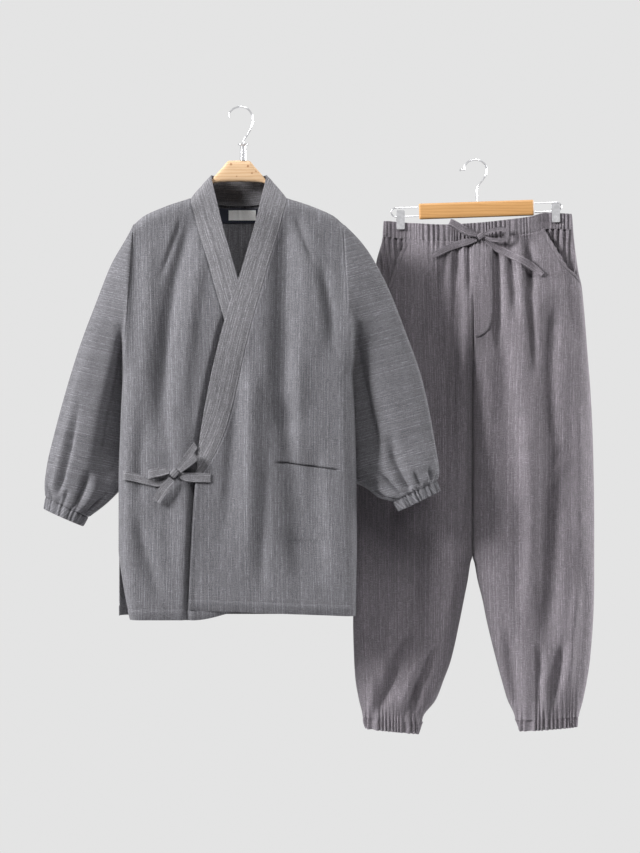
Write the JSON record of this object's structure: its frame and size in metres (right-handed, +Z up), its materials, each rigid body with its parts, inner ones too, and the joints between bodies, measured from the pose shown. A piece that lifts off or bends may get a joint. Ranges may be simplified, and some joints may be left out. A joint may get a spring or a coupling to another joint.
{
  "type": "samue jacket and trousers on two hangers",
  "caption": "Wrap-front jacket with gathered cuffs on a wooden hanger, before matching drawstring trousers on a clip hanger, in grey pin-striped cloth.",
  "frame": {"origin": "inside of the crest of the jacket hanger's hook, where the rail holds it", "axes": "+X to the viewer's right, from the jacket towards the trousers; +Y away from the viewer, from the jacket's front to its back; +Z up"},
  "size_m": [1.0343, 0.2141, 1.1782],
  "materials": {
    "cloth": "matt woven cotton, mid grey with fine vertical pin stripes",
    "band": "matt woven cotton, the same cloth cut along the stripes",
    "facing_cloth": "matt woven cotton inside the pocket mouths",
    "navy_cloth": "matt dark navy cloth patch",
    "white_cloth": "plain white satin label, blank",
    "pine": "pale knotty softwood, satin clear finish",
    "honey_wood": "honey coloured wood, satin clear finish",
    "chrome": "bright plated steel"
  },
  "bodies": {
    "root": {"front_over": "cloth", "front_under": "cloth", "back_left": "cloth", "back_right": "cloth", "sleeve_left": "cloth", "sleeve_right": "cloth", "patch_pocket": "cloth", "leg_front_left": "cloth", "leg_front_right": "cloth", "leg_back_left": "cloth", "leg_back_right": "cloth", "fly": "cloth", "waistband_front": "cloth", "waistband_back": "cloth", "collar_over": "band", "collar_under": "band", "cuff_left": "band", "cuff_right": "band", "hem_cuff_left": "band", "hem_cuff_right": "band", "tie_knot": "band", "tie_side_strap": "band", "tie_loop_left": "band", "tie_tail_left": "band", "tie_loop_right": "band", "tie_tail_right": "band", "tie_front_strap": "band", "drawstring_knot": "band", "drawstring_loop_left": "band", "drawstring_loop_right": "band", "drawstring_tail_long": "band", "drawstring_tail_short": "band", "pocket_facing_left": "facing_cloth", "pocket_facing_right": "facing_cloth", "neck_patch": "navy_cloth", "neck_label": "white_cloth", "jacket_hanger_wood": "pine", "trouser_hanger_slat": "honey_wood", "jacket_hanger_ferrule": "chrome", "jacket_hanger_hook": "chrome", "trouser_hanger_hook": "chrome", "clip_wire_left": "chrome", "clip_wire_right": "chrome", "clip_left_front": "chrome", "clip_left_back": "chrome", "clip_left_spring": "chrome", "clip_right_front": "chrome", "clip_right_back": "chrome", "clip_right_spring": "chrome"}
  },
  "joints": []
}
